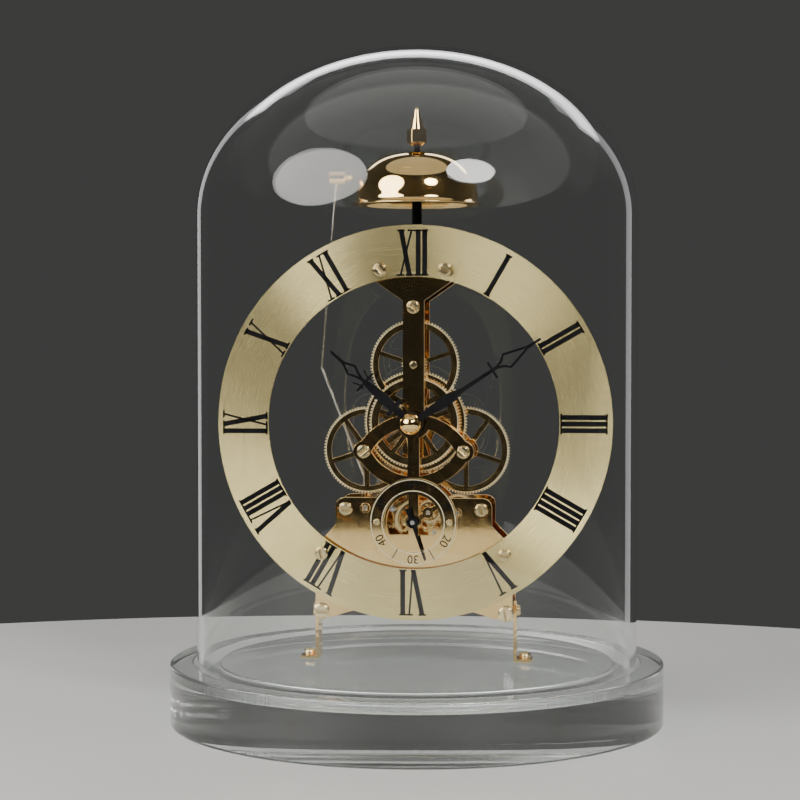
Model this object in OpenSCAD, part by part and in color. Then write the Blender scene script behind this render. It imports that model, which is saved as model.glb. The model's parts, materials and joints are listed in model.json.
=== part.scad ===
// Skeleton clock with passing strike on a clear base under a glass dome.
// Millimetres. +Z up, front faces -Y, origin at the centre of the base's underside.

/* [Case] */
// outer radius of the clear base
base_r = 100; // [80:1:130]
// height of the base
base_h = 24.4; // [15:0.1:40]
// inner radius of the dome groove
groove_in = 80; // [60:0.5:90]
// outer radius of the dome groove
groove_out = 90.6; // [70:0.1:98]
// depth of the dome groove
groove_d = 5.6; // [2:0.1:10]
// outer radius of the glass dome
dome_r = 89.1; // [70:0.1:97]
// glass wall thickness
dome_t = 2.7; // [1.5:0.1:5]
// height where the straight wall of the dome ends
dome_z = 204; // [150:1:240]
// rise of the rounded crown
dome_b = 68; // [40:1:89]

/* [Movement] */
// height of the hand centre
cz = 121.2; // [100:0.1:150]
// front face of the front plate
fp0 = -12; // [-14:0.1:-10]
// plate thickness
pt = 2.5; // [2:0.1:3]
// front face of the back plate
bp0 = 7.5; // [7:0.1:9]
// distance from the hand centre to the three satellite wheels
sat = 23.2; // [23:0.1:23.4]
// radial clearance of every pivot in its hole
fit = 0.05; // [0.02:0.01:0.09]
// backlash of the gears at the pitch circle
lash = 0.06; // [0.03:0.01:0.1]

/* [Dial] */
// outer radius of the chapter ring
ring_ro = 79.05; // [70:0.05:85]
// inner radius of the chapter ring
ring_ri = 58.4; // [50:0.1:65]
// front face of the chapter ring
ring_y = -14.8; // [-16:0.1:-14]
// thickness of the chapter ring
ring_t = 1.5; // [1:0.1:2]
// outer radius of the seconds dial
sec_ro = 17.66; // [15:0.01:18]
// inner radius of the seconds dial
sec_ri = 11.95; // [10:0.05:14]

/* [Hands and strike] */
// reading of the minute hand in degrees clockwise from twelve
min_a = 56.6; // [0:0.1:360]
// reading of the hour hand in degrees clockwise from twelve
hour_a = 311.4; // [0:0.1:360]
// reading of the seconds hand in degrees clockwise from sixty
sec_a = 162; // [0:0.1:360]
// bell rim radius
bell_r = 26.7; // [20:0.1:30]
// bell rim height
bell_z = 208.8; // [205:0.1:215]

/* [Hidden] */
$fn = 48;
e = 0.01;
// arbor positions, [x, z]
function pol(p, a, d) = [p[0] + d * cos(a), p[1] + d * sin(a)];
function dist(p, q) = norm(p - q);
function ang(p, q) = atan2(q[1] - p[1], q[0] - p[0]);
// meeting point of two circles, on the left of the line p to q
function tri(p, q, dp, dq) = let (d = dist(p, q), a = (dp * dp - dq * dq + d * d) / (2 * d))
    pol(p, ang(p, q) + acos(a / dp), dp);
pC = [0, cz];
pU = pol(pC, 90, sat);
pL = pol(pC, 210, sat);
pR = pol(pC, 330, sat);
pS = [0, 81.4];
pM = pol(pR, -95.87, 0.39 * (90 + 36) / 2);
pN = tri(pS, pM, 0.26 * 27, 0.26 * 45);
pE = pol(pS, -26.3, 0.26 * 36);
pP = pol(pE, -55, 7.6);
pA = pol(pE, -55, 18.6);
pI = pol(pL, -64, 0.4 * (42 + 87) / 2);
pB = pol(pI, -105, 0.38 * (8 + 80) / 2);
pH = [-19.4, 86.9];
// modules
mw = 2 * sat / 117;
mh = 2 * sat / 115;
// tooth phase of a wheel that meshes with another
function mesh(p1, z1, f1, p2, z2) = let (t = ang(p1, p2)) t + 180 - (180 - z1 * (t - f1)) / z2;
fU = mesh(pC, 27, 0, pU, 90);
fHr = mesh(pU, 25, 0, pC, 90);
fE = mesh(pS, 64, 0, pE, 8);
fN = mesh(pS, 18, 0, pN, 36);
fM = mesh(pN, 36, fN, pM, 54);
fR = mesh(pM, 36, 0, pR, 90);
fC = mesh(pR, 13, 0, pC, 104);
fL = mesh(pC, 29, 0, pL, 87);
fI = mesh(pL, 87, fL, pI, 42);
fB = mesh(pI, 8, 0, pB, 80);
gold = [0.85, 0.65, 0.25];
steel = [0.75, 0.76, 0.78];
dark = [0.08, 0.08, 0.09];
glass = [0.85, 0.9, 0.92, 0.3];

// flat profiles in X and Z carried from y0 back to y1, each on its own
module slab(y0, y1) for (i = [0 : $children - 1]) translate([0, y1, 0]) rotate([90, 0, 0])
    linear_extrude(y1 - y0) children(i);
module at(p) translate([p[0], 0, p[1]]) children();
// a round bar along Y
module rod(r, y0, y1, n = 48) translate([0, y1, 0]) rotate([90, 0, 0]) cylinder(r = r, h = y1 - y0, $fn = n);

// involute gear outline: teeth, module, addendum, dedendum, phase, points per flank
function inv(r, rb) = let (a = acos(min(1, rb / r))) tan(a) * 180 / PI - a;
function half(r, m, z) = let (rp = m * z / 2, rb = rp * cos(20)) 90 / z - lash / 4 / rp * 180 / PI
    + inv(rp, rb) - inv(max(r, rb), rb);
function gear_pts(z, m, add, ded, ph, n) = let (rp = m * z / 2, r0 = rp - ded * m, r1 = rp + add * m) [
    for (i = [0 : z - 1], s = [-1, 1], k = [0 : n]) let (
        r = s < 0 ? r0 + (r1 - r0) * k / n : r1 - (r1 - r0) * k / n,
        a = ph + i * 360 / z + s * half(r, m, z)) [r * cos(a), r * sin(a)]];
module gear(z, m, add, ded, ph, n) polygon(gear_pts(z, m, add, ded, ph, n));
// window between two spokes
module window(r0, r1, w, a, k) difference() {
    intersection() {
        difference() { circle(r = r1, $fn = 96); circle(r = r0); }
        polygon([[0, 0], for (i = [0 : 4]) let (b = a + i * 90 / k) [2 * r1 * cos(b), 2 * r1 * sin(b)]]);
    }
    for (b = [a, a + 360 / k]) rotate(b) translate([0, -w / 2]) square([2 * r1, w]);
}
// spoked wheel outline
module wheel2(z, m, add, ded, ph, hub, rim, w, a0, bore, k = 5) difference() {
    gear(z, m, add, ded, ph, 2);
    for (i = [0 : k - 1]) window(hub, rim, w, a0 + i * 360 / k, k);
    circle(r = bore);
}
// arbor with its two pivots
module arbor(r, rp = 0.8, y0 = fp0, y1 = bp0 + pt) {
    rod(r, fp0 + pt + 0.3, bp0 - 0.3);
    rod(rp, y0, fp0 + pt + 0.3);
    rod(rp, bp0 - 0.3, y1);
}
// slotted screw along Y, head towards the front; the seat lies at y
module screw(y, rh, hh, rs, ls, a = 40) {
    difference() {
        union() { rod(rh * 0.86, y - hh, y - hh * 0.6); rod(rh, y - hh * 0.62, y); }
        translate([0, y - hh, 0]) rotate([0, a, 0]) cube([3 * rh, hh * 0.7, rh * 0.28], center = true);
    }
    rod(rs, y - e, y + ls);
}

// clear base
module base() color(glass) difference() {
    rotate_extrude($fn = 96) polygon([
        [0, 0], [base_r - 0.8, 0], [base_r, 0.8], [base_r, base_h - 1.2], [base_r - 0.35, base_h - 0.35],
        [base_r - 1.2, base_h], [groove_out, base_h], [groove_out, base_h - groove_d],
        [groove_in, base_h - groove_d], [groove_in, base_h], [0, base_h]]);
    for (s = [-1, 1]) translate([s * 44.2, 0, base_h - 7]) cylinder(r = 1.2, h = 8);
}

function crown(r, b, n) = [for (i = [0 : n]) let (t = 90 * i / n) [r * cos(t), dome_z + b * sin(t)]];
// glass dome
module glass_dome() color(glass) rotate_extrude($fn = 96) polygon(concat(
    [[dome_r - dome_t, base_h - groove_d], [dome_r, base_h - groove_d]], crown(dome_r, dome_b, 24),
    [for (i = [24 : -1 : 0]) crown(dome_r - dome_t, dome_b - dome_t, 24)[i]]));

// lens shape from two arcs, half width w and half height h
module lens(w, h) let (r = (w * w + h * h) / (2 * h)) intersection() {
    translate([0, r - h]) circle(r = r, $fn = 120);
    translate([0, h - r]) circle(r = r, $fn = 120);
}
// a polygon given by its right half, from the top down to the bottom
module halves(pts) polygon(concat(pts, [for (i = [len(pts) - 1 : -1 : 0]) if (pts[i][0] > 0)
    [-pts[i][0], pts[i][1]]]));
// outline common to both plates
module outline(y0) slab(y0, y0 + pt) {
    halves([[0, 183], [8.6, 184.6], [10.6, 186.4], [15.6, 186.4], [17.6, 184.4], [17.6, 180.6], [14.6, 177.2],
        [4.25, 170], [4.25, 116]]);
    translate([0, 109.5]) lens(23.6, 15);
    hole([20.1, 109.6], 4.2);
    hole([-20.1, 109.6], 4.2);
    hole(pS, sec_ro - 1.2, $fn = 96);
    halves(concat([[0, 91], [28, 91], [29.75, 90.5], [31, 89.3], [31.5, 87.5], [31.5, 80], [33.2, 78],
        [36, 75.2], [39.7, 72], [39.7, 42.6]], [for (i = [0 : 7]) let (x = 33 - 33 * i / 7)
        [x, 42.6 + 6.2 * (1 - x * x / 1089)]]));
}
// windows beside the lower bar
module lens_window(s) difference() {
    translate([0, 109.5]) lens(17.1, 9.9);
    translate([s < 0 ? -2.35 : -20, 90]) square([22.35, 40]);
    translate([0, cz]) circle(r = 6.6);
}
module hole(p, r) translate(p) circle(r = r);

posts = [[0, 167.5], [27.4, 86.5], [-27.4, 86.5], [37.3, 45], [-37.3, 45]];
ring_fix = [[13.1, 182.4], [-13.1, 182.4], [36.8, 68.6], [-36.8, 68.6]];
sec_fix = [[14.6, 81.4], [-14.6, 81.4]];

// front plate
module front_plate() color(gold) {
    difference() {
        outline(fp0);
        slab(fp0 - 1, fp0 + pt + 1) {
            lens_window(-1);
            lens_window(1);
            // opening behind the seconds dial, left and right of the bar
            for (s = [-1, 1]) difference() {
                intersection() {
                    hole(pS, 11);
                    translate([s < 0 ? -22 : 2, 76.2]) square([20, 20]);
                }
                hole(pS, 3.4);
                hole(pE, 2.4);
                hole(pN, 2.2);
                translate(pS) rotate(ang(pS, pN)) translate([0, -1]) square([14, 2]);
            }
            for (p = posts) hole(p, 1.5);
            for (p = concat(ring_fix, sec_fix)) hole(p, 1.1);
            for (p = [pM, pE, pP, pA, pI, pH]) hole(p, 0.8 + fit);
            hole(pU, 1.45 + fit);
            hole(pN, 0.8);
            hole(pS, 0.9 + fit);
            hole(pC, 2.4 + fit);
            hole(pB, 2.0 + fit);
            for (p = [pL, pR]) hole(p, 1.0);
        }
    }
    // raised bushes beside the seconds dial
    difference() {
        for (p = [pH, pM]) at(p) rod(1.95, fp0 - 0.5, fp0 + e);
        for (p = [pH, pM]) at(p) rod(1.25, fp0 - 1, fp0 + 1);
        at(pS) rod(sec_ro + 0.15, fp0 - 1, fp0 + 1);
    }
}

// back plate
module back_plate() color(gold) difference() {
    outline(bp0);
    slab(bp0 - 1, bp0 + pt + 1) {
        lens_window(-1);
        lens_window(1);
        // opening that shows the balance
        hole(pA, 8.5);
        for (p = posts) hole(p, 1.5);
        for (p = [pU, pM, pE, pP, pI, pH, pS]) hole(p, 0.8 + fit);
        hole(pC, 1.2 + fit);
        hole(pB, 3.0 + fit);
        for (p = [pL, pR]) hole(p, 1.0);
        for (p = click_fix) hole(p, 0.8);
        for (p = cock_fix) hole(p, 0.9);
        hole(spring_fix, 0.8);
    }
}

// distance pillars between the plates, bored and tapped at both ends
module pillars() color(gold) for (p = posts) at(p) difference() {
    union() {
        rod(2.1, fp0 + pt, bp0);
        if (p[1] > 100 || p[1] < 50) rod(2.4, -4, 4.5);
    }
    rod(1.05, fp0 + pt - e, fp0 + pt + 4.6);
    rod(1.05, bp0 - 4.6, bp0 + e);
    if (p[1] > 100) translate([0, 0.5, 0]) cylinder(r = 1.2, h = 4);
    if (p[1] < 50) rotate([0, sign(p[0]) * 90, 0]) translate([0, 0, 0.2]) cylinder(r = 0.85, h = 4);
}

// slotted screws on the front: plates, chapter ring and wheel studs
module front_screws() color(steel) {
    for (p = posts) at(p) screw(fp0, p[1] < 50 ? 3.2 : 2.65, 1.9, 1.0, 6.4, 40 + p[0]);
    for (p = ring_fix) at(p) screw(ring_y, 2.65, 1.5, 1.0, ring_t + 3.6, 40 - p[0]);
    for (p = [pL, pR]) at(p) screw(fp0, 2.65, 1.6, 0.6, 0.8, 2 * p[0]);
}
// slotted screws on the back: plates, balance cock and click
module back_screws() color(steel) translate([0, bp0 + pt, 0]) {
    for (p = posts) at(p) rotate([0, 0, 180]) screw(0, 2.65, 1.9, 1.0, 6.4, 25 + p[0]);
    for (p = cock_fix) at(p) translate([0, 2.2, 0]) rotate([0, 0, 180]) screw(0, 1.9, 1.2, 0.85, 4.2, 60);
    at(pK) translate([0, 2, 0]) rotate([0, 0, 180]) screw(0, 1.9, 1.0, 0.8, 4.5, 15);
}

// two legs: strips beside the plate corners with feet turned outwards
module legs() color(gold) for (s = [-1, 1]) scale_x(s) difference() {
    union() {
        translate([39.7, -4.5, base_h]) cube([1.3, 9, 25]);
        translate([39.7, -4.5, base_h]) cube([7.4, 9, 1.3]);
    }
    translate([39, 0, 45]) rotate([0, 90, 0]) cylinder(r = 1.0, h = 3);
    translate([44.2, 0, base_h - 1]) cylinder(r = 1.3, h = 4);
}
module scale_x(s) { if (s < 0) mirror([1, 0, 0]) children(); else children(); }
// cross screws through the legs into the lower pillars, and round-headed screws through the feet
module leg_screws() color(steel) for (s = [-1, 1]) scale_x(s) {
    translate([41, 0, 45]) rotate([0, 0, 90]) screw(0, 2.2, 1.3, 0.8, 3.2);
    translate([44.2, 0, base_h + 1.3]) difference() {
        union() {
            cylinder(r = 2.4, h = 1.4);
            translate([0, 0, 1.4 - e]) cylinder(r1 = 2.4, r2 = 1.6, h = 0.9);
            translate([0, 0, -7.5]) cylinder(r = 1.15, h = 7.6);
        }
        translate([0, 0, 2.2]) rotate(30) cube([6, 0.6, 1.2], center = true);
    }
}

// chapter ring
module chapter_ring() color([0.85, 0.8, 0.62]) slab(ring_y, ring_y + ring_t) difference() {
    hole(pC, ring_ro, $fn = 180);
    hole(pC, ring_ri, $fn = 180);
    for (p = ring_fix) hole(p, 1.1);
}
// distance washers behind the chapter ring
module ring_spacers() color(gold) for (p = ring_fix) at(p) difference() {
    rod(2.4, ring_y + ring_t, fp0);
    rod(1.1, ring_y, fp0 + 1);
}

// seconds dial
module seconds_dial() color(gold) slab(fp0 - 1, fp0) difference() {
    hole(pS, sec_ro, $fn = 120);
    hole(pS, sec_ri, $fn = 96);
    for (p = sec_fix) hole(p, 1.0);
}
module seconds_screws() color(steel) for (p = sec_fix) at(p) screw(fp0 - 1, 1.4, 0.7, 0.8, 3, 30);

// outline given by its right-hand edge from bottom to top, and mirrored
function mirrored(h) = concat(h, [for (i = [len(h) - 1 : -1 : 0]) [-h[i][0], h[i][1]]]);
// hand pointing up from the hub: leaf, cross bar at k and open lozenge widest at m and closed at v
module hand2(l, hub, leaf, k, bar, m, w, v, y0, y1) {
    d = m - k;
    slab(y0, y1) {
        circle(r = hub);
        polygon(mirrored(leaf));
        translate([-bar, k - 0.45]) square([2 * bar, 0.9]);
        difference() {
            polygon(mirrored([[0.65, k], [0.7, k + 0.3 * d], [1.35, k + 0.62 * d], [w, m], [0.75, v], [0.45, l]]));
            polygon(mirrored([[0.05, k + 0.45 * d], [0.5, k + 0.7 * d], [w - 0.95, m], [0.05, v - 0.9]]));
        }
    }
}
module minute_hand() color(dark) at(pC) rotate([0, min_a, 0]) difference() {
    hand2(61.4, 4.6, [[1.3, 0], [1.5, 8], [2.3, 18], [0.85, 25], [0.7, 39.2]], 38.8, 3.6, 45.6, 3.4, 55,
        -21.4, -20.6);
    rod(1.6, -25, -18);
}
module hour_hand() color(dark) at(pC) rotate([0, hour_a, 0]) difference() {
    union() {
        hand2(43.4, 4.6, [[1.2, 0], [1.45, 7], [2.2, 14], [1.7, 20], [1.2, 24], [0.7, 25.6]], 24.8, 4.8, 32, 2.6,
            36.4, -18.6, -17.8);
        slab(-18.6, -17.8) {
            for (s = [-1, 1]) polygon([for (p = [[1.9, 23.5], [1.9, 25.4], [2.4, 27], [3.1, 28.5], [3.7, 28.2],
                [3.0, 26.7], [2.6, 25.4], [2.6, 23.5]]) [s * p[0], p[1]]]);
            translate([-4, 8.5]) square([8, 1.8]);
        }
        rod(3.4, -17.8 - e, -16.2);
    }
    rod(2.4, -20, -15);
}
module seconds_hand() color(dark) at(pS) rotate([0, sec_a, 0]) difference() {
    union() {
        slab(-15.0, -14.6) {
            circle(r = 2.3);
            polygon([[-0.7, 0], [-0.25, 16], [0.25, 16], [0.7, 0]]);
            polygon([[-0.6, 0], [-1.3, -6], [1.3, -6], [0.6, 0]]);
        }
        rod(1.7, -14.6 - e, -13.4);
    }
    rod(0.9, -16, -13);
}
// domed hand nut on the cannon pipe
module hand_nut() color(gold) at(pC) translate([0, -21.4, 0]) rotate([90, 0, 0]) rotate_extrude($fn = 64)
    polygon(concat([[1.3, 0], [4.2, 0]], [for (i = [0 : 10]) let (t = 9 * i) [4.25 * cos(t), 0.5 + 4.25 * sin(t)]],
        [[0, 1.6], [1.3, 1.6]]));

// cannon pinion with its pipe
module cannon_pinion() color(gold) at(pC) difference() {
    union() {
        slab(-6.6, -5.4) gear(27, mw, 1.0, 1.15, 0, 3);
        rod(3.2, -5.4 - e, -4.9);
        rod(1.6, -21.4, -5.4);
        rod(1.3, -22.8, -21);
    }
    rod(0.9 + fit, -20.2, 0);
}
// hour wheel with its pipe
module hour_wheel() color(gold) at(pC) difference() {
    union() {
        slab(-8.6, -7.4) wheel2(90, mh, 0.7, 1.25, fHr, 4.6, 14.6, 1.9, 18, 1);
        rod(3.4, -9.2, -7.0);
        rod(2.4, -18.6, -7.0);
    }
    rod(1.6 + fit, -20, 0);
}
// upper wheel of the motion work
module minute_wheel() color(gold) at(pU) slab(-6.6, -5.4)
    wheel2(90, mw, 0.7, 1.25, fU, 3.6, 14.8, 1.7, 18, 1.5);
module minute_arbor() color(steel) at(pU) {
    rod(1.45, fp0 - 0.2, fp0 + pt + 0.3);
    rod(1.5, fp0 + pt + 0.3, bp0 - 0.3);
    rod(0.8, bp0 - 0.3, bp0 + pt);
    slab(-8.6, -7.4) gear(25, mh, 1.0, 1.15, 0, 3);
}

// centre wheel and arbor
module centre_wheel() color(gold) at(pC) slab(-4.4, -3.2)
    wheel2(104, mw, 0.7, 1.25, fC, 5.2, 17.4, 2.1, 0, 2.2);
module centre_arbor() color(steel) at(pC) {
    rod(0.9, -20, -4.6);
    rod(2.2, -4.6, -2.4);
    slab(-2.4, -0.8) gear(29, 0.4, 1.0, 1.15, 0, 3);
    rod(1.8, -0.8, bp0 - 0.3);
    rod(1.2, bp0 - 0.3, bp0 + pt);
}
// lifting cam on the centre arbor
module lifting_cam() color(steel) at(pC) slab(3.2, 4.2) difference() {
    polygon([for (i = [0 : 47]) let (t = i * 7.5) [for (f = [cos(t - 120), sin(t - 120)])
        f * (3.2 + 2.4 * t / 352.5)]]);
    circle(r = 1.8);
}

// stud of a satellite wheel with its collars, tapped at the front
module stud(p, y0, y1, rc) at(p) difference() {
    union() {
        rod(1.5, fp0 + pt, bp0);
        rod(2.6, y1 + 0.3, y1 + 1.3);
        rod(rc, y0 - 1.3, y0 - 0.3);
        rod(1.0, fp0, fp0 + pt);
        rod(1.0, bp0, bp0 + pt);
    }
    rod(0.6, fp0 - 1, fp0 + 1.2);
}
module studs() color(steel) {
    stud(pL, -2.6, -0.6, 1.95);
    stud(pR, -4.8, 1.8, 2.6);
}
module left_wheel() color(gold) at(pL) difference() {
    union() {
        slab(-2.2, -1.0) wheel2(87, 0.4, 0.7, 1.25, fL, 3.8, 14.6, 1.9, 54, 1);
        rod(3.0, -2.6, -0.6);
    }
    rod(1.5 + fit, -9, 9);
}
module third_wheel() color(gold) at(pR) difference() {
    union() {
        slab(0.2, 1.4) wheel2(90, 0.39, 0.7, 1.25, fR, 3.8, 14.6, 1.9, 54, 1);
        rod(2.7, -0.4, 1.8);
    }
    rod(2.0, -9, 9);
}
module third_pinion() color(steel) at(pR) difference() {
    union() {
        slab(-4.8, -2.8) gear(13, mw, 1.0, 1.0, 0, 4);
        rod(2.0, -2.8 - e, 1.8);
    }
    rod(1.5 + fit, -9, 9);
}

// fourth arbor
module fourth_wheel() color(gold) at(pM) slab(-6.6, -5.4) wheel2(54, 0.26, 0.7, 1.25, fM, 2.6, 5.6, 1.2, 0, 1.2, 4);
module fourth_arbor() color(steel) at(pM) {
    arbor(1.2);
    slab(0, 1.6) difference() { gear(36, 0.39, 0.7, 1.15, 0, 3); circle(r = 1.1); }
}
module idler_wheel() color(gold) at(pN) slab(-6.8, -5.2) difference() {
    gear(36, 0.26, 0.8, 1.2, fN, 2);
    circle(r = 0.8 + fit);
    for (i = [0 : 3]) window(1.7, 3.2, 0.9, i * 90, 4);
}
module idler_stud() color(steel) at(pN) {
    rod(0.8, fp0, -4.9);
    rod(1.5, fp0 + pt, -7.1);
    rod(1.2, -4.9, -4.7);
}

// seconds arbor
module seconds_wheel() color(gold) at(pS) slab(-4.4, -3.6) wheel2(64, 0.26, 0.48, 1.25, 0, 2.4, 6.4, 1.2, 45, 1.0, 4);
module seconds_arbor() color(steel) at(pS) {
    rod(0.9, -15.4, fp0 + pt + 0.3);
    rod(1.0, fp0 + pt + 0.3, bp0 - 0.3);
    rod(0.8, bp0 - 0.3, bp0 + pt);
    slab(-6.8, -5.2) gear(18, 0.26, 0.9, 1.1, 0, 3);
}

// escape wheel with pointed teeth
module escape_wheel() color(gold) at(pE) slab(-2.6, -1.8) difference() {
    polygon([for (i = [0 : 14], k = [0 : 2]) let (a = 24 * i + [0, 1.2, 15][k], r = [5.2, 5.1, 3.9][k])
        [r * cos(a), r * sin(a)]]);
    for (i = [0 : 3]) window(1.6, 3.1, 0.7, i * 90, 4);
    circle(r = 0.7);
}
module escape_arbor() color(steel) at(pE) {
    rod(0.7, fp0 + pt + 0.3, bp0 - 0.3);
    rod(0.8, fp0, fp0 + pt + 0.3);
    rod(0.8, bp0 - 0.3, bp0 + pt);
    slab(-4.6, -3.4) gear(8, 0.26, 1.0, 1.0, fE, 4);
}
// pallet lever with two pins and a fork
module pallet_lever() color(steel) at(pP) {
    rod(0.8, fp0, bp0 + pt);
    rotate([0, 55, 0]) {
        slab(-3.3, -2.9) {
            circle(r = 1.5);
            for (s = [-1, 1]) polygon([[0.6, s * 0.8], [-0.6, s * 0.6], [-3.3, s * 4.3], [-2.3, s * 4.7]]);
            polygon([[0, -0.7], [0, 0.7], [8, 0.5], [8, -0.5]]);
            for (s = [-1, 1]) polygon([[7.8, 0], [7.8, s * 1.1], [9, s * 1.1], [9, s * 0.6], [8.3, s * 0.4],
                [8.3, 0]]);
        }
        for (s = [-1, 1]) translate([-2.75, 0, s * 4.2]) rod(0.3, -3.3, -1.7, 24);
    }
}

// balance wheel, staff, spring and cock
module balance_wheel() color(gold) at(pA) difference() {
    union() {
        slab(3.2, 4.6) {
            difference() { circle(r = 9.4, $fn = 96); circle(r = 8); }
            rotate(20) translate([-8.4, -0.8]) square([16.8, 1.6]);
            circle(r = 2);
        }
        for (i = [0 : 11]) translate([0, 3.9, 0]) rotate([0, i * 30 + 5, 0]) translate([9.2, 0, 0])
            rotate([0, 90, 0]) cylinder(r = 0.5, h = 0.8, $fn = 24);
    }
    rod(0.7, 3, 5);
}
module balance_staff() color(steel) at(pA) {
    rod(0.7, fp0 + pt + 0.3, bp0 + pt - 0.3);
    rod(0.8, fp0, fp0 + pt + 0.3);
    rod(0.5, bp0 + pt - 0.3, 12.4);
    rod(1.0, 5.6, 6.6);
    rod(1.7, -2.5, -1.9);
    rotate([0, 55, 0]) translate([-1.45, 0, 0]) rod(0.2, -3.3, -2.5 + e, 24);
}
// spiral strip from radius a to radius b in n turns
module spiral(a, b, n, w, s0, k = 24) polygon(concat(
    [for (i = [0 : n * k]) let (t = s0 + 360 * i / k, r = a + (b - a) * i / (n * k)) [r * cos(t), r * sin(t)]],
    [for (i = [n * k : -1 : 0]) let (t = s0 + 360 * i / k, r = a + (b - a) * i / (n * k) + w)
        [r * cos(t), r * sin(t)]]));
module hairspring() color([0.2, 0.25, 0.5]) at(pA) slab(5.8, 6.4) {
    spiral(1.4, 6.6, 6, 0.15, 0);
    translate([6.6, -0.3]) square([0.9, 0.6]);
}
cock_fix = [pol(pA, -15, 13.6), pol(pA, 15, 13.6)];
module balance_cock() color(gold) {
    difference() {
        slab(bp0 + pt, bp0 + pt + 2.2) {
            hole(pA, 2.8);
            polygon([pol(pA, 100, 2.6), pol(pA, 22, 14.4), pol(pA, 16, 16.2), pol(pA, -16, 16.2),
                pol(pA, -22, 14.4), pol(pA, -100, 2.6)]);
        }
        at(pA) rod(0.5 + fit, 0, 20);
        for (p = cock_fix) at(p) rod(1.0, 0, 20);
    }
    at(pA) translate([7.4, 0, 0]) rod(0.6, 5.6, bp0 + pt + e, 24);
}

// intermediate arbor
module power_wheel() color(gold) at(pI) slab(-2.2, -1.0) wheel2(42, 0.4, 0.7, 1.25, fI, 2.8, 6.3, 1.4, 30, 1.3, 4);
module power_arbor() color(steel) at(pI) { arbor(1.3); slab(-0.2, 2.0) gear(8, 0.38, 1.0, 1.0, 0, 5); }

// going barrel with its great wheel
module barrel() color(gold) at(pB) difference() {
    union() {
        slab(0.2, 1.6) gear(80, 0.38, 0.48, 1.25, fB, 2);
        rod(13.8, 1.6 - e, 6.2);
    }
    rod(12.8, 1.2, 6.3);
    rod(2.4 + fit, 0, 2);
}
module barrel_cover() color(gold) at(pB) difference() { rod(13.8, 6.2, 6.9); rod(2.4 + fit, 6, 7); }
module mainspring() color(steel) at(pB) slab(1.6, 5.8) spiral(5.2, 12.2, 10, 0.35, 40, 30);
// arbor with the spring hook and the winding square
module barrel_arbor() color(steel) at(pB) {
    rod(2.0, fp0 + 0.3, -0.4);
    rod(2.4, -0.4, 1.8);
    rod(3.6, 1.7, 5.8);
    rod(2.4, 5.8, bp0 - 0.3);
    rod(3.0, bp0 - 0.3, bp0 + pt + 0.3);
    translate([-1.7, bp0 + pt + 0.3, -1.7]) cube([3.4, 9, 3.4]);
    translate([3.5, 2.4, -0.5]) cube([0.9, 2.6, 1]);
}
module ratchet_wheel() color(steel) at(pB) slab(bp0 + pt + 0.3, bp0 + pt + 1.7) difference() {
    polygon([for (i = [0 : 23], k = [0, 1]) let (a = 15 * i + k * 2, r = k == 0 ? 7 : 5.9) [r * cos(a), r * sin(a)]]);
    translate([-1.7, -1.7]) square(3.4);
}
pK = pol(pB, 40, 11.2);
click_fix = [pK, pK + [-9, 6.5]];
module click() color(steel) at(pK) difference() {
    slab(bp0 + pt + 0.3, bp0 + pt + 1.7) {
        circle(r = 2);
        polygon([[0, 1.8], [-3.2, 1.9], [-7.05, 0], [-4, -0.6], [0, -1.8]]);
    }
    rod(0.8 + fit, 0, 20);
}
// blade that keeps the click in the teeth
module click_spring() color(steel) at(pK) {
    slab(bp0 + pt, bp0 + pt + 1.4) {
        translate([-9, 6.5]) circle(r = 1.6);
        polygon([[-9, 7.9], [-8.6, 6.6], [-2.6, 2.6], [-2.3, 3.0], [-7.6, 7.4]]);
    }
    translate([-9, 0, 6.5]) rod(0.8, bp0, bp0 + pt + e);
}

// hammer arbor, tail and collet
module hammer_arbor() color(steel) at(pH) { arbor(1.1); rod(2.6, 1.9, 6.4); }
module hammer_tail() color(steel) difference() {
    slab(3.2, 4.2) {
        hole(pH, 3.5);
        polygon([pol(pH, 90, 3.2), pol(pC, 203, 9.8), pol(pC, 213, 7.2), pol(pC, 235, 7.4), pol(pH, 0, 3.2)]);
    }
    at(pH) rod(2.6, 2, 6);
}
// a straight round wire between two points, started x before the first
module wire(a, b, r, x = 0) translate(a) let (d = b - a) rotate([0, acos(d[2] / norm(d)), atan2(d[1], d[0])])
    translate([0, 0, -x]) cylinder(r = r, h = norm(d) + x);
// hammer wire: bends, and the radius of each length
bends = [[-21.2, 5.4, 90.5], [-22.4, 5.4, 98.7], [-39.7, 3.6, 143.3], [-32.9, 0.5, 219.4]];
wire_r = [0.62, 0.59, 0.51];
module hammer_wire() color(steel) for (i = [0 : 2])
    wire(bends[i], bends[i + 1], wire_r[i], i > 0 ? 0.12 : 0);
module hammer_collet() color(gold) difference() {
    union() { at(pH) rod(3.5, 4.5, 6.3); translate([-21.2, 5.4, 89]) cylinder(r = 0.85, h = 3.4); }
    at(pH) rod(2.6, 0, 9);
    wire(bends[0], bends[1], wire_r[0], 0.1);
}
module hammer_head() color(gold) translate([-32.4, 0.5, 220.2]) difference() {
    union() {
        translate([-3.25, 0, 0]) rotate([0, 90, 0]) cylinder(r = 2.5, h = 6.5);
        translate([3.24, 0, 0]) rotate([0, 90, 0]) cylinder(r1 = 1.2, r2 = 1.0, h = 1.7);
        translate([4.9, 0, 0]) sphere(r = 1.2, $fn = 32);
    }
    translate([32.4, -0.5, -220.2]) wire(bends[2], bends[3], wire_r[2]);
}
spring_fix = [-24.9, 80.2];
module hammer_spring() color(steel) {
    wire([-24.9, 6.9, 80.2], [-22.6, 6.9, 97], 0.25);
    at(spring_fix) { rod(0.8, 6.2, bp0 + pt); rod(1.2, 6.3, bp0); }
}

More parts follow.
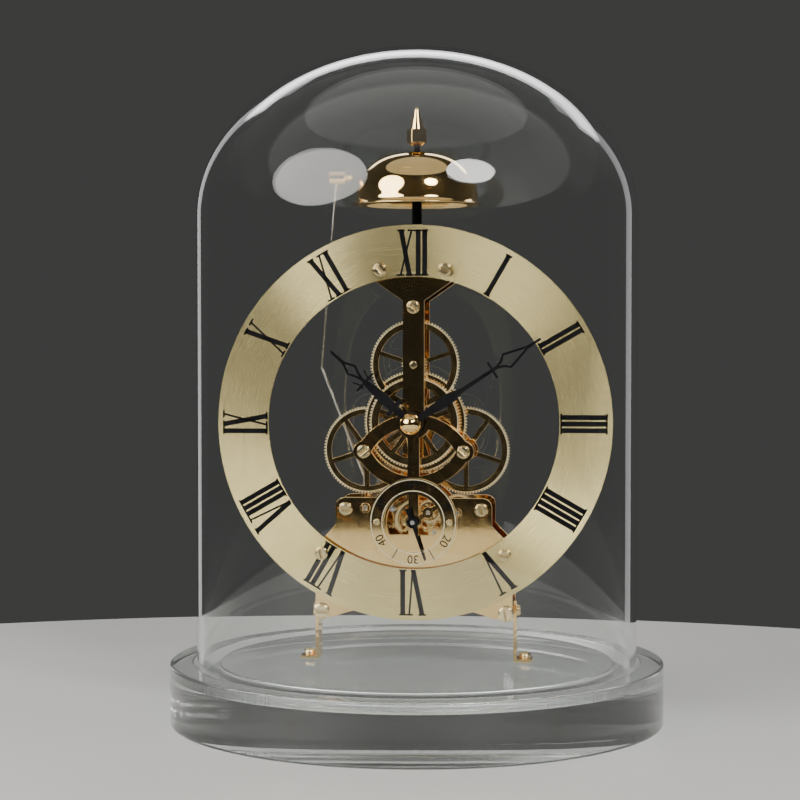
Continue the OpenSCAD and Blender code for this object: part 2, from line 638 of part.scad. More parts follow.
// bell on its post with the finial
module bell_post() color(dark) translate([0, 0.5, 0]) {
    translate([0, 0, 168.8]) cylinder(r = 1.2, h = 2);
    translate([0, 0, 169.9]) cylinder(r = 2, h = bell_z + 20.6 - 169.9);
    translate([0, 0, bell_z + 20.6 - e]) cylinder(r = 1.3, h = 7.6);
}
function cap(r, h, n) = [for (i = [0 : n]) let (t = 90 * i / n)
    [r * pow(cos(t), 0.86), bell_z + 3.2 + h * pow(sin(t), 0.86)]];
module bell() color(gold) translate([0, 0.5, 0]) rotate_extrude($fn = 96) polygon(concat(
    [[24.9, bell_z], [bell_r, bell_z], [bell_r, bell_z + 0.5], [25.2, bell_z + 1.5]],
    [for (i = [0 : 19]) cap(24.6, 18.6, 20)[i]], [[1.35, cap(24.6, 18.6, 20)[20][1]],
    [1.35, cap(24.6, 17.4, 20)[20][1]]], [for (i = [19 : -1 : 0]) cap(23.5, 17.4, 20)[i]]));
module finial() color(gold) translate([0, 0.5, bell_z + 24.2]) difference() {
    union() {
        cylinder(r1 = 2.2, r2 = 3.9, h = 1.2);
        translate([0, 0, 1.2 - e]) rotate(22.5) cylinder(r = 4.3, h = 5.4, $fn = 8);
        translate([0, 0, 6.6 - 2 * e]) cylinder(r1 = 3.0, r2 = 1.05, h = 8.1);
        translate([0, 0, 14.65]) sphere(r = 1.0, $fn = 32);
    }
    translate([0, 0, -1]) cylinder(r = 1.3, h = 5.4);
}

// every part by name; node picks one of them
base();
glass_dome();
front_plate();
back_plate();
pillars();
legs();
front_screws();
back_screws();
leg_screws();
chapter_ring();
ring_spacers();
seconds_dial();
seconds_screws();
minute_hand();
hour_hand();
seconds_hand();
hand_nut();
cannon_pinion();
hour_wheel();
minute_wheel();
minute_arbor();
centre_wheel();
centre_arbor();
lifting_cam();
studs();
left_wheel();
third_wheel();
third_pinion();
fourth_wheel();
fourth_arbor();
idler_wheel();
idler_stud();
seconds_wheel();
seconds_arbor();
escape_wheel();
escape_arbor();
pallet_lever();
balance_wheel();
balance_staff();
hairspring();
balance_cock();
power_wheel();
power_arbor();
barrel();
barrel_cover();
mainspring();
barrel_arbor();
ratchet_wheel();
click();
click_spring();
hammer_arbor();
hammer_tail();
hammer_collet();
hammer_wire();
hammer_head();
hammer_spring();
bell_post();
bell();
finial();
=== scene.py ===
import json
import math
import bmesh
import bpy
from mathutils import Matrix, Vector


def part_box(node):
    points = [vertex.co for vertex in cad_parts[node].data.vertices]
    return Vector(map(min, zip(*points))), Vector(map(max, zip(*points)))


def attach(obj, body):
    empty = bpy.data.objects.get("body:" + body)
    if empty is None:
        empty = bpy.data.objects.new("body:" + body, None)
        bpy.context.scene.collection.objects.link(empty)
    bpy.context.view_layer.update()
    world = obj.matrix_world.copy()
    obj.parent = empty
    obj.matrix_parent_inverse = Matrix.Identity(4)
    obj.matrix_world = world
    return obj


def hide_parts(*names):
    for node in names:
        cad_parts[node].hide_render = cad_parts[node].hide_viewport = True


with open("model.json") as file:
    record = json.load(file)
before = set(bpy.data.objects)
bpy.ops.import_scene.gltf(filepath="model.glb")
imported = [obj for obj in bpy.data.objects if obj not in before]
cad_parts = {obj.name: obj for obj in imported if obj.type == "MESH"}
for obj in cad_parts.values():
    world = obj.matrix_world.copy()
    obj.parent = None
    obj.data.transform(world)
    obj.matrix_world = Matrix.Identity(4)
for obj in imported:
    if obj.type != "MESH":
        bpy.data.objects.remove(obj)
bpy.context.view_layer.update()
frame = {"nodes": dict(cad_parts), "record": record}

scene = bpy.context.scene
MM = 0.001                              # metres in a millimetre; lengths are in metres where nothing else is said

# ---------------------------------------------------------------- camera
AZIMUTH, ELEVATION, DISTANCE = math.radians(6.98), math.radians(2.02), 0.835
TARGET = Vector((-0.00675, -0.0008, 0.1299))
LENS, SENSOR = 92.5, 36                 # millimetres
BOUNCES = 24                            # the base and the dome send light round many times

back = Vector((math.sin(AZIMUTH) * math.cos(ELEVATION), -math.cos(AZIMUTH) * math.cos(ELEVATION),
               math.sin(ELEVATION)))
cam_data = bpy.data.cameras.new("camera")
cam_data.lens = LENS
cam_data.sensor_width = SENSOR
cam_data.clip_start = 0.01
camera = bpy.data.objects.new("camera", cam_data)
scene.collection.objects.link(camera)
camera.location = TARGET + back * DISTANCE
camera.rotation_euler = (-back).to_track_quat("-Z", "Y").to_euler()
scene.camera = camera
scene.cycles.max_bounces = BOUNCES
scene.cycles.transmission_bounces = BOUNCES
scene.cycles.transparent_max_bounces = BOUNCES
scene.cycles.glossy_bounces = 8
scene.cycles.caustics_refractive = False


# ---------------------------------------------------------------- nodes
def new_material(name):
    m = bpy.data.materials.new(name)
    m.use_nodes = True
    t = m.node_tree
    t.nodes.clear()
    out = t.nodes.new("ShaderNodeOutputMaterial")
    bsdf = t.nodes.new("ShaderNodeBsdfPrincipled")
    t.links.new(bsdf.outputs[0], out.inputs["Surface"])
    return m, t, bsdf, out


def feed(t, n, inputs):
    """Fills inputs of a node, by name or by place: a socket is linked, any other value is set on the input."""
    for key, value in inputs.items():
        if isinstance(value, bpy.types.NodeSocket):
            t.links.new(value, n.inputs[key])
        else:
            n.inputs[key].default_value = value


def node(t, kind, inputs=None, **settings):
    n = t.nodes.new(kind)
    for key, value in settings.items():
        setattr(n, key, value)
    feed(t, n, inputs or {})
    return n


def object_coords(t):
    return node(t, "ShaderNodeTexCoord").outputs["Object"]


def math_node(t, operation, *values):
    return node(t, "ShaderNodeMath", dict(enumerate(values)), operation=operation).outputs[0]


def vector_node(t, operation, *values):
    return node(t, "ShaderNodeVectorMath", dict(enumerate(values)), operation=operation).outputs[0]


def noise(t, coord, scale, detail=3, rough=0.55):
    return node(t, "ShaderNodeTexNoise",
                {"Scale": scale, "Detail": detail, "Roughness": rough, "Vector": coord}).outputs["Fac"]


def remap(t, value, lo, hi, a=0.3, b=0.7):
    """lo at a and hi at b, straight between them and level beyond."""
    return node(t, "ShaderNodeMapRange",
                {"From Min": a, "From Max": b, "To Min": lo, "To Max": hi, "Value": value}).outputs[0]


def mask(t, value, lo, hi):
    """0 at lo and 1 at hi, with a soft step between."""
    return node(t, "ShaderNodeMapRange", {"From Min": lo, "From Max": hi, "Value": value},
                interpolation_type="SMOOTHSTEP").outputs[0]


def ramp(t, value, stops):
    n = node(t, "ShaderNodeValToRGB", {0: value})
    while len(n.color_ramp.elements) < len(stops):
        n.color_ramp.elements.new(0.5)
    for element, (position, colour) in zip(n.color_ramp.elements, stops):
        element.position = position
        element.color = (*colour, 1)
    return n.outputs[0]


def bump(t, height, strength, distance=0.0001):
    return node(t, "ShaderNodeBump", {"Strength": strength, "Distance": distance, "Height": height})


def off_axis(t, obj, centre):
    """Distance from the axis along Y through centre, and the vector from it."""
    offset = vector_node(t, "SUBTRACT", obj, (centre[0], 0, centre[1]))
    flat = vector_node(t, "MULTIPLY", offset, (1, 0, 1))
    return node(t, "ShaderNodeVectorMath", {0: flat}, operation="LENGTH").outputs["Value"], flat


# ---------------------------------------------------------------- materials
FACING, EDGEWAYS = 0.9, 0.6             # how far a normal lies along Y on a polished face and on a cut edge
TEETH_STEP = 0.0001                     # half the width of the soft step where the teeth begin
RING_HALF = 0.00022                     # half the width of a border ring
GRAIN = 900                             # scale of the fine grain of polished metal
BRUSHING, SWIRL = 5200, 0.0016          # scale of the brushed rings, and how much they change on the way round


def satin_mask(t, coords, centre, reach, rings):
    """1 on faces cut edgeways to Y, on teeth beyond reach from the centre and on rings at the given radii. These
    get the cut roughness and the cut colour, which paints a highlight where it is paler than the metal.
    """
    xyz = node(t, "ShaderNodeSeparateXYZ", {0: coords.outputs["Normal"]})
    satin_and_highlight = mask(t, math_node(t, "ABSOLUTE", xyz.outputs["Y"]), FACING, EDGEWAYS)
    if centre:
        dist, _ = off_axis(t, coords.outputs["Object"], centre)
        bands = [mask(t, dist, reach - TEETH_STEP, reach + TEETH_STEP)] if reach else []
        bands += [math_node(t, "COMPARE", dist, r, RING_HALF) for r in rings]
        for band in bands:
            satin_and_highlight = math_node(t, "MAXIMUM", satin_and_highlight, band)
    return satin_and_highlight


def metal(name, dark, light, rough, strength=0.02, edge=0.0, cut=None, cut_rough=0.3, centre=None, reach=None,
          rings=()):
    """Metal with cloudy tone, handling marks in the gloss, a fine grain and, if edge gives a radius, rounded edges.
    If cut gives a colour, the faces that the mask picks have it and a rougher finish; a cut colour paler than the
    metal is a painted highlight on those edges, teeth and rings."""
    m, t, p, _ = new_material(name)
    coords = node(t, "ShaderNodeTexCoord")
    obj = coords.outputs["Object"]
    colour = ramp(t, noise(t, obj, 45, 4), [(0.3, dark), (0.7, light)])
    gloss = remap(t, noise(t, obj, 260, 5, 0.65), *rough)
    if cut:
        # cut faces, teeth and rings: rougher finish, and the cut colour as a painted highlight when it is paler
        # than the metal
        satin_and_highlight = satin_mask(t, coords, centre, reach, rings)
        colour = node(t, "ShaderNodeMix", {0: satin_and_highlight, 6: colour, 7: (*cut, 1)}, data_type="RGBA").outputs[2]
        gloss = node(t, "ShaderNodeMix", {0: satin_and_highlight, 2: gloss, 3: cut_rough}, data_type="FLOAT").outputs[0]
    grain = bump(t, noise(t, obj, GRAIN, 2, 0.5), strength)
    if edge:
        rounded = node(t, "ShaderNodeBevel", {"Radius": edge}, samples=4)
        feed(t, grain, {"Normal": rounded.outputs[0]})
    feed(t, p, {"Base Color": colour, "Metallic": 1.0, "Roughness": gloss, "Normal": grain.outputs[0]})
    return m


def spun(name, dark, light, rough, centre, strength, aniso):
    """Metal brushed in circles round an axis along Y through centre."""
    m, t, p, _ = new_material(name)
    obj = object_coords(t)
    dist, flat = off_axis(t, obj, centre)
    outwards = node(t, "ShaderNodeCombineXYZ", {0: dist}).outputs[0]
    swirl = node(t, "ShaderNodeVectorMath", {0: vector_node(t, "NORMALIZE", flat), "Scale": SWIRL},
                 operation="SCALE").outputs[0]
    lines = noise(t, vector_node(t, "ADD", outwards, swirl), BRUSHING, 4, 0.7)
    cloud = math_node(t, "MULTIPLY", noise(t, obj, 30, 3), 0.75)
    tone = math_node(t, "MULTIPLY_ADD", lines, 0.25, cloud)
    around = node(t, "ShaderNodeTangent", direction_type="RADIAL", axis="Y")
    feed(t, p, {"Base Color": ramp(t, tone, [(0.35, dark), (0.65, light)]), "Metallic": 1.0,
                "Roughness": remap(t, lines, *rough), "Anisotropic": aniso, "Tangent": around.outputs[0],
                "Normal": bump(t, lines, strength).outputs[0]})
    return m


def tool_marks(t, obj):
    """Height that changes only on the way round the Z axis."""
    xyz = node(t, "ShaderNodeSeparateXYZ", {0: obj})
    turn = math_node(t, "ARCTAN2", xyz.outputs["Y"], xyz.outputs["X"])
    return noise(t, node(t, "ShaderNodeCombineXYZ", {0: turn}).outputs[0], 95, 3, 0.6)


def clear(name, tint, ior, rough, ripples, machined=False):
    """Clear solid that lets lamps through, with faint ripples or tool marks in the surface."""
    m, t, p, out = new_material(name)
    obj = object_coords(t)
    ripple = noise(t, obj, 22, 2)
    relief = bump(t, tool_marks(t, obj), 0.7, 0.0004) if machined else bump(t, ripple, ripples, 0.0002)
    feed(t, p, {"Base Color": (*tint, 1), "Transmission Weight": 1.0, "IOR": ior,
                "Roughness": remap(t, ripple, *rough), "Normal": relief.outputs[0]})
    path = node(t, "ShaderNodeLightPath")
    pale = [0.5 + 0.5 * c for c in tint]
    lamp = node(t, "ShaderNodeBsdfTransparent", {0: (*pale, 1)})
    mix = node(t, "ShaderNodeMixShader", {0: path.outputs["Is Shadow Ray"], 1: p.outputs[0], 2: lamp.outputs[0]})
    feed(t, out, {"Surface": mix.outputs[0]})
    return m


def enamel(name, colour, rough):
    """Dark lacquer, faintly clouded, with hardly any mirror image."""
    m, t, p, _ = new_material(name)
    obj = object_coords(t)
    lighter = tuple(c * 1.8 for c in colour)
    feed(t, p, {"Base Color": ramp(t, noise(t, obj, 120, 4), [(0.35, colour), (0.75, lighter)]),
                "Roughness": remap(t, noise(t, obj, 500, 4), *rough), "Specular IOR Level": 0.08,
                "Normal": bump(t, noise(t, obj, 1600, 2), 0.05, 0.00005).outputs[0]})
    return m


DIAL, SUB = (0.0, 0.1212), (0.0, 0.0814)  # centres (x, z) of the chapter ring and of the seconds dial
# dark and light tone, least and most roughness, strength of the grain
GOLD = (0.90, 0.62, 0.25), (0.97, 0.71, 0.33), (0.03, 0.07), 0.008
WHEEL = (0.82, 0.57, 0.22), (0.93, 0.68, 0.31), (0.05, 0.12), 0.012
DIAL_GOLD = (0.86, 0.62, 0.27), (0.93, 0.70, 0.34), (0.03, 0.06), 0.0
# pale colours of cut faces, teeth and border rings: painted highlights on their rougher finish
CUT_HIGHLIGHT, PLATE_CUT_HIGHLIGHT, DIAL_CUT_HIGHLIGHT = (0.98, 0.82, 0.50), (0.98, 0.78, 0.45), (0.98, 0.86, 0.6)
ACRYLIC, ACRYLIC_IOR = (0.96, 0.985, 0.98), 1.49
TEETH = 0.0011                          # depth of the rim of a wheel that gets the rougher finish and the painted highlight
SECONDS_INNER, BORDER = 0.01195, 0.0006  # hole of the seconds dial, and from its edges to the border rings
mat = {
    "clear_acrylic": clear("clear acrylic", ACRYLIC, ACRYLIC_IOR, (0.0, 0.012), 0.05),
    "clear_glass": clear("clear glass", (0.98, 0.99, 0.985), 1.36, (0.0, 0.004), 0.03),
    "polished_gold": metal("polished gold", *GOLD, edge=0.0003),
    # wheel teeth and cut edges get a paler colour, a painted highlight, with a rougher finish
    "wheel_gold": metal("wheel gold", *WHEEL, edge=0.00012, cut=CUT_HIGHLIGHT),
    "satin_champagne": spun("brushed champagne", (0.80, 0.66, 0.30), (0.86, 0.72, 0.35), (0.25, 0.28), DIAL,
                            0.012, 0.95),
    "screw_steel": metal("pale gold screws", (0.90, 0.71, 0.37), (0.98, 0.82, 0.48), (0.10, 0.2), 0.02,
                         edge=0.0008),
    "arbor_steel": metal("polished steel", (0.52, 0.51, 0.49), (0.70, 0.69, 0.66), (0.12, 0.28), 0.03),
    "blued_steel": metal("blued steel", (0.05, 0.09, 0.28), (0.10, 0.16, 0.42), (0.15, 0.3), 0.03),
    "black_lacquer": enamel("black lacquer", (0.0025, 0.0025, 0.003), (0.42, 0.55)),
}
machined_acrylic = clear("machined acrylic", ACRYLIC, ACRYLIC_IOR, (0.05, 0.2), 0.0, machined=True)
# the plates' cut edges get a paler colour, a painted highlight, with a rougher finish
plate_gold = metal("polished plates", *GOLD, edge=0.0002, cut=PLATE_CUT_HIGHLIGHT)
slots = {s["node"]: s["material_slot"] for s in frame["record"]["subparts"]}


def own_material(name, slot):
    """Some nodes get a material of their own. Those of the wheels and the seconds dial know their centre."""
    low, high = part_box(name)
    centre, reach = ((low[0] + high[0]) / 2, (low[2] + high[2]) / 2), (high[0] - low[0]) / 2
    if name == "seconds_dial":
        # its cut edges and border rings get a paler colour, a painted highlight, with a rougher finish
        return metal("polished seconds dial", *DIAL_GOLD, cut=DIAL_CUT_HIGHLIGHT, centre=centre,
                     rings=(reach - BORDER, SECONDS_INNER + BORDER))
    if name in ("front_plate", "back_plate"):
        return plate_gold
    if name == "barrel_arbor":
        return metal("barrel arbor with gilt ends", *GOLD, cut=(0.62, 0.61, 0.58), cut_rough=0.2)
    if slot == "wheel_gold" and name.endswith("_wheel"):
        # teeth and cut edges of each wheel get a paler colour, a painted highlight, with a rougher finish
        return metal(name.replace("_", " "), *WHEEL, edge=0.00012, cut=CUT_HIGHLIGHT, centre=centre, reach=reach - TEETH)
    return mat[slot]


for name, obj in frame["nodes"].items():
    obj.data.materials.clear()
    obj.data.materials.append(own_material(name, slots[name]))


# ---------------------------------------------------------------- pieces
def add_piece(name, data, materials, body, replaces=None, location=(0, 0, 0), rotation=(0, 0, 0)):
    ob = bpy.data.objects.new(name, data)
    scene.collection.objects.link(ob)
    for m in materials:
        data.materials.append(m)
    ob.location = location
    ob.rotation_euler = rotation
    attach(ob, body)
    if replaces:
        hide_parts(replaces)


def finished_mesh(name, bm):
    me = bpy.data.meshes.new(name)
    bm.to_mesh(me)
    bm.free()
    return me


# ---------------------------------------------------------------- turned pieces, in millimetres
# A profile is a list of (radius, height, sharp, material index). A sharp point is a crease, and the index is that
# of the run that starts at the point.
HOLD, LONG = 0.4, 8.0                   # rings this far in from the ends of a run longer than that keep it straight
ON_AXIS = 1e-6                          # a smaller radius is a point on the axis


def smooth(*points, index=0):
    return [(r, z, False, index) for r, z in points]


def arc(r, z, size, degrees):
    """Points on an arc about (r, z) at these angles, which go from outwards to upwards."""
    return smooth(*[(r + size * math.cos(math.radians(a)), z + size * math.sin(math.radians(a))) for a in degrees])


def fillet(r, z, size, start, steps=5):
    """Quarter round of that size about the point (r, z), from the start angle in degrees, going up the profile."""
    return arc(r, z, size, [start + 90 * k / steps for k in range(steps + 1)])


def held(profile, closed):
    """Adds a ring near each end of a long straight run, so that the smooth shading of its ends stays there."""
    out = []
    for i, a in enumerate(profile):
        out.append(a)
        if i + 1 == len(profile) and not closed:
            break
        b = profile[(i + 1) % len(profile)]
        run = math.hypot(b[0] - a[0], b[1] - a[1])
        if run > LONG:
            for f in (HOLD / run, 1 - HOLD / run):
                out.append((a[0] + (b[0] - a[0]) * f, a[1] + (b[1] - a[1]) * f, False, a[3]))
    return out


def turned_ring(bm, r, z, centre, segments):
    if r < ON_AXIS:
        return [bm.verts.new((centre[0], centre[1], z * MM))]
    turns = (2 * math.pi * k / segments for k in range(segments))
    return [bm.verts.new((centre[0] + r * MM * math.cos(a), centre[1] + r * MM * math.sin(a), z * MM))
            for a in turns]


def lathe(name, profile, centre, materials, body, replaces, segments, closed):
    """Turns a profile round a vertical axis at centre, which is in metres."""
    bm = bmesh.new()
    profile = held(profile, closed)
    rings = [turned_ring(bm, r, z, centre, segments) for r, z, *_ in profile]
    count = len(profile)
    for i in range(count if closed else count - 1):
        lo, hi = rings[i], rings[(i + 1) % count]
        if len(lo) == len(hi) == 1:
            continue
        for k in range(segments):
            k2 = (k + 1) % segments
            near = lo if len(lo) == 1 else [lo[k], lo[k2]]
            far = hi if len(hi) == 1 else [hi[k2], hi[k]]
            face = bm.faces.new(near + far)
            face.smooth = True
            face.material_index = profile[i][3]
    for (_, _, sharp, _), ring in zip(profile, rings):
        if sharp and len(ring) > 1:
            for k in range(segments):
                bm.edges.get((ring[k], ring[(k + 1) % segments])).smooth = False
    bmesh.ops.recalc_face_normals(bm, faces=bm.faces)
    add_piece(name, finished_mesh(name, bm), materials, body, replaces)


# clear base: polished outside, tool marks left on the groove walls
base_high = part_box("base")[1]
dome_low, dome_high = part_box("glass_dome")
R_BASE, H_BASE = base_high[0] / MM, base_high[2] / MM
R_DOME, Z_DOME, TOP = dome_high[0] / MM, dome_low[2] / MM, dome_high[2] / MM
GROOVE_IN, GROOVE_OUT, EDGE = 80.0, 90.6, 0.9
BREAK, CORNER = 0.3, 0.4                # bevel of the groove's upper edges and of its lower corners
base_profile = (smooth((0, 0), (R_BASE - EDGE, 0)) + fillet(R_BASE - EDGE, EDGE, EDGE, -90)[1:]
                + fillet(R_BASE - EDGE, H_BASE - EDGE, EDGE, 0)
                + smooth((GROOVE_OUT + BREAK, H_BASE)) + [(GROOVE_OUT, H_BASE - BREAK, True, 1)]
                + smooth((GROOVE_OUT, Z_DOME + CORNER), (GROOVE_OUT - CORNER, Z_DOME),
                         (GROOVE_IN + CORNER, Z_DOME), (GROOVE_IN, Z_DOME + CORNER), index=1)
                + [(GROOVE_IN, H_BASE - BREAK, True, 0)] + smooth((GROOVE_IN - BREAK, H_BASE), (0, H_BASE)))
lathe("clear_base", base_profile, (0, 0), [mat["clear_acrylic"], machined_acrylic], "frame",
      "base", 192, False)

# glass dome: straight wall up to the spring line, elliptical crown, rounded rim
WALL, SPRING, RIM_GAP = 2.7, 204.0, 0.08


def crown(r, rise, steps=72):
    quarter = [math.pi / 2 * k / steps for k in range(steps)]
    return smooth(*[(r * math.cos(a), SPRING + rise * math.sin(a)) for a in quarter], (0.0, SPRING + rise))


rim = Z_DOME + RIM_GAP + WALL / 2
dome_profile = (crown(R_DOME - WALL, TOP - SPRING - WALL)[::-1] + smooth((R_DOME - WALL, rim))
                + arc(R_DOME - WALL / 2, rim, WALL / 2, range(200, 360, 20))
                + smooth((R_DOME, rim)) + crown(R_DOME, TOP - SPRING))
lathe("dome_glass", dome_profile, (0, 0), [mat["clear_glass"]], "dome", "glass_dome", 192, False)

# bell: spun shell with a rolled lip
bell_low, bell_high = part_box("bell")
R_LIP, Z_LIP, Z_CROWN = bell_high[0] / MM, bell_low[2] / MM, bell_high[2] / MM
R_BELL, SHELL, FLARE = R_LIP - 2.1, 1.1, 3.2
SQUARENESS = 0.86                       # 1 is an ellipse, less is squarer
BELL_HOLE = 1.35
BELL_CENTRE = (0, 0.5 * MM)


def shell(r, height, top, steps=36):
    """Bell section from the flare to the hole: a squarish arch that ends at the height top."""
    quarter = [math.pi / 2 * k / steps for k in range(steps + 1)]
    arch = [(r * max(0.0, math.cos(a)) ** SQUARENESS, Z_LIP + FLARE + height * math.sin(a) ** SQUARENESS)
            for a in quarter]
    return smooth(*[q for q in arch if q[0] > BELL_HOLE]) + [(BELL_HOLE, top, True, 0)]


rise = Z_CROWN - Z_LIP - FLARE
lip_under = smooth((R_BELL + 0.35, Z_LIP + 0.02), (R_LIP - 0.25, Z_LIP), (R_LIP, Z_LIP + 0.25))
lip_over = smooth((R_LIP - 0.2, Z_LIP + 0.5), (R_BELL + 1.0, Z_LIP + 0.85), (R_BELL + 0.3, Z_LIP + 1.6),
                  (R_BELL + 0.05, Z_LIP + 2.4))
lip_inside = smooth((R_BELL - SHELL + 0.05, Z_LIP + 2.2), (R_BELL - SHELL + 0.4, Z_LIP + 1.2))
bell_profile = (lip_under + lip_over + shell(R_BELL, rise, Z_CROWN)
                + shell(R_BELL - SHELL, rise - SHELL, Z_CROWN - SHELL)[::-1] + lip_inside)
lathe("spun_bell", bell_profile, BELL_CENTRE, [mat["polished_gold"]], "frame", "bell", 160, True)

# ---------------------------------------------------------------- numerals, in millimetres on the dial
H = 9.2                                 # half height of a chapter numeral
THICK, THIN, LINE, OVER = 1.95, 0.75, 0.7, 1.5  # strokes, serifs, and how far a serif stands out at each end
PITCH = 2.6                             # between two upright strokes
V_FOOT, V_HEAD = 3.7, 5.3               # from the thick head of a V to its point and to its thin head
X_FOOT, X_HEAD = 3.5, 4.3               # from the thick head of an X to its thick foot and its thin head
TUCK = 0.2                              # how far the foot of a thin stroke is moved sideways
JOIN = 0.01                             # serifs a pitch apart are joined, with this to spare
NUMERALS = ["XII", "I", "II", "III", "IIII", "V", "VI", "VII", "VIII", "IX", "X", "XI"]
R_NUM, NUMERAL_DEPTH = 67.9, 0.06
R_SEC = 14.8
SEC_LINE, SEC_LINE_DEPTH = (0.16, 2.4), 0.04  # half width and half length
SEC_SIZE, SEC_EXTRUDE, SEC_FRONT = 4.8, 0.02, 0.025
PROUD = 0.002                           # keeps the flat pieces off the dial's face
LACQUER = "black_lacquer"


def mesh_piece(name, faces, depth, place):
    """Flat outlines in numeral coordinates made into thin lacquered plates facing the front."""
    bm = bmesh.new()
    for pts in faces:
        front = [bm.verts.new(place(x, z, -depth)) for x, z in pts]
        rear = [bm.verts.new(place(x, z, 0.0)) for x, z in pts]
        bm.faces.new(front)
        bm.faces.new(rear[::-1])
        for i in range(len(pts)):
            j = (i + 1) % len(pts)
            bm.faces.new((front[j], front[i], rear[i], rear[j]))
    bmesh.ops.recalc_face_normals(bm, faces=bm.faces)
    add_piece(name, finished_mesh(name, bm), [mat[LACQUER]], "frame")


def bar(x0, x1, w):
    """Stroke as high as the numeral, from x0 at its foot to x1 at its head, w wide along x."""
    return [(x0 - w / 2, -H), (x0 + w / 2, -H), (x1 + w / 2, H), (x1 - w / 2, H)]


def serif(x0, x1, z):
    """Thin line across the head or the foot of a stroke."""
    low = z - math.copysign(LINE, z)
    return [(x0 - OVER, z), (x1 + OVER, z), (x1 + OVER, low), (x0 - OVER, low)]


def joined(ends):
    """First and last of each run of stroke ends that are at most a pitch apart."""
    runs = []
    for x in sorted(ends):
        if runs and x - runs[-1][1] <= PITCH + JOIN:
            runs[-1][1] = x
        else:
            runs.append([x, x])
    return runs


def numeral(text):
    """Outlines of a Roman numeral, centred, with joined serifs."""
    x, faces, heads, feet = 0.0, [], [], []
    for ch in text:
        if ch == "I":
            faces.append(bar(x, x, THICK))
            heads.append(x)
            feet.append(x)
            x += PITCH
        elif ch == "V":
            faces += [bar(x + V_FOOT, x, THICK), bar(x + V_FOOT + TUCK, x + V_HEAD, THIN)]
            heads += [x, x + V_HEAD]
            x += V_HEAD + PITCH
        else:
            faces += [bar(x + X_FOOT, x, THICK), bar(x - TUCK, x + X_HEAD, THIN)]
            heads += [x, x + X_HEAD]
            feet += [x - TUCK, x + X_FOOT]
            x += X_HEAD + PITCH
    for ends, z in ((heads, H), (feet, -H)):
        faces += [serif(a, b, z) for a, b in joined(ends)]
    left = min(px for f in faces for px, _ in f)
    right = max(px for f in faces for px, _ in f)
    return [[(px - (left + right) / 2, pz) for px, pz in f] for f in faces]


def polar_place(centre, angle, radius, front):
    """Maps numeral coordinates to the dial at centre, with the numeral's head outwards."""
    a = math.radians(angle)
    right, up = (math.cos(a), -math.sin(a)), (math.sin(a), math.cos(a))

    def place(x, z, y):
        r = radius + z
        return Vector(((centre[0] + right[0] * x + up[0] * r) * MM, (front + y) * MM,
                       (centre[1] + right[1] * x + up[1] * r) * MM))
    return place


ring_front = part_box("chapter_ring")[0][1] / MM - PROUD
for hour, text in enumerate(NUMERALS):
    mesh_piece("numeral_%02d" % (hour or 12), numeral(text), NUMERAL_DEPTH,
               polar_place((0, DIAL[1] / MM), hour * 30, R_NUM, ring_front))

# seconds dial: figures every ten seconds and a line between each pair
sec_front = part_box("seconds_dial")[0][1] / MM
w, h = SEC_LINE
for i in range(6):
    mesh_piece("second_line_%d" % (i * 10 + 5), [[(-w, -h), (w, -h), (w, h), (-w, h)]], SEC_LINE_DEPTH,
               polar_place((0, SUB[1] / MM), 30 + 60 * i, R_SEC, sec_front - PROUD))
for i in range(6):
    seconds, a = i * 10 or 60, math.radians(60 * i)
    figure = bpy.data.curves.new("seconds_%d" % seconds, "FONT")
    figure.body = str(seconds)
    figure.size = SEC_SIZE * MM
    figure.align_x = "CENTER"
    figure.align_y = "CENTER"
    figure.extrude = SEC_EXTRUDE * MM
    spot = (math.sin(a) * R_SEC * MM, (sec_front - SEC_FRONT) * MM, SUB[1] + math.cos(a) * R_SEC * MM)
    add_piece("seconds_%d" % seconds, figure, [mat[LACQUER]], "frame",
              location=spot, rotation=(math.radians(90), a, 0))

# ---------------------------------------------------------------- stage and light
FLOOR_RADIUS, FLOOR_PLACE = 0.56, (0, -0.26, -0.0002)
FLOOR_DARK, FLOOR_LIGHT = (0.46, 0.46, 0.45), (0.50, 0.50, 0.49)
# tones of the surround, from in front of the clock (0) to behind it (1)
SURROUND = [(0.0, (0.016, 0.016, 0.017)), (0.55, (0.022, 0.022, 0.023)), (0.9, (0.052, 0.053, 0.051))]

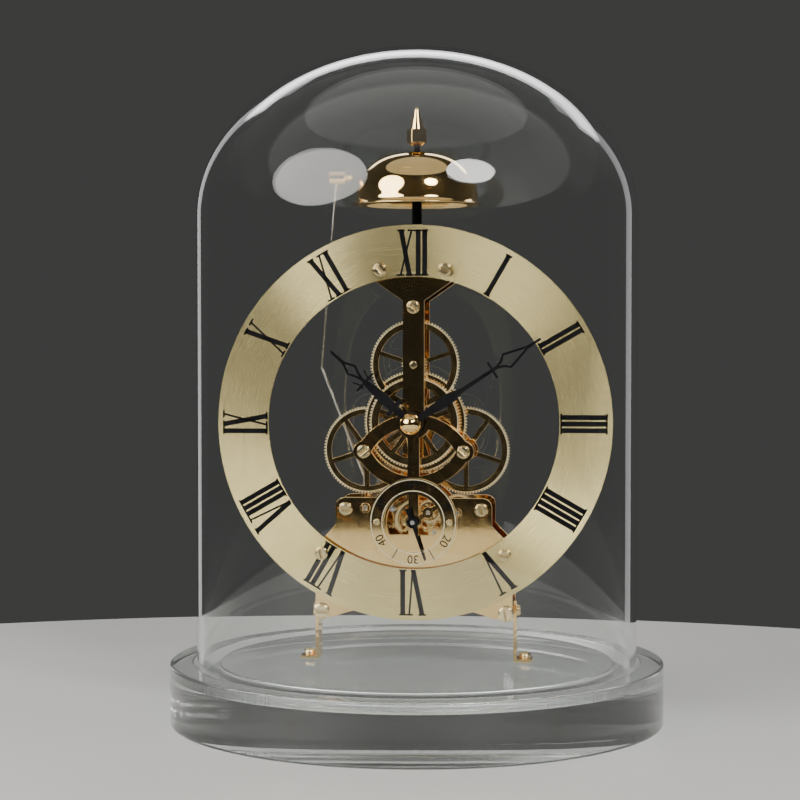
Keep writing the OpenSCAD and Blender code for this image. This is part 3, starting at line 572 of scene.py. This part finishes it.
floor_material, t, p, _ = new_material("floor")
clouds = noise(t, object_coords(t), 3, 2)
feed(t, p, {"Base Color": ramp(t, clouds, [(0.3, FLOOR_DARK), (0.7, FLOOR_LIGHT)]), "Roughness": 0.5})
bm = bmesh.new()
bmesh.ops.create_circle(bm, cap_ends=True, radius=FLOOR_RADIUS, segments=256)
floor = bpy.data.objects.new("floor", finished_mesh("floor", bm))
floor.location = FLOOR_PLACE
scene.collection.objects.link(floor)
floor.data.materials.append(floor_material)

world = bpy.data.worlds.new("studio")
world.use_nodes = True
scene.world = world
t = world.node_tree
t.nodes.clear()
direction = node(t, "ShaderNodeSeparateXYZ", {0: node(t, "ShaderNodeTexCoord").outputs["Generated"]})
tone = ramp(t, remap(t, direction.outputs["Y"], 0, 1, -1, 1), SURROUND)
background = node(t, "ShaderNodeBackground", {0: tone})
node(t, "ShaderNodeOutputWorld", {0: background.outputs[0]})


def soft_light(name, loc, size, power, colour=(1, 1, 1), shape="RECTANGLE", aim=(0, 0, 0.13)):
    """Area light of that width and height and of that power in watts, turned towards aim."""
    d = bpy.data.lights.new(name, "AREA")
    d.shape = shape
    d.size, d.size_y = size
    d.energy = power
    d.color = colour
    o = bpy.data.objects.new(name, d)
    o.location = loc
    o.rotation_euler = (Vector(loc) - Vector(aim)).to_track_quat("Z", "Y").to_euler()
    scene.collection.objects.link(o)
    return o


soft_light("top", (0.0, -0.1, 1.9), (2.6, 2.6), 9, (1, 0.985, 0.96), "ELLIPSE")
soft_light("key", (-0.90, -0.85, 0.75), (1.25, 1.0), 27, (1, 0.97, 0.92), "ELLIPSE")
soft_light("fill", (0.65, -0.93, 0.83), (0.52, 0.42), 19, (1, 0.98, 0.95), "ELLIPSE")
soft_light("rim", (0.0, 1.1, 1.0), (1.8, 0.25), 5)
for side in (-1, 1):                    # seen as thin lines down the sides of the dome, but not through it
    strip = soft_light("edge_%d" % (side + 2), (0.85 * side, 1.2, 0.6), (0.24, 1.8), 1.7, aim=(0, 0, 0.6))
    strip.visible_transmission = False
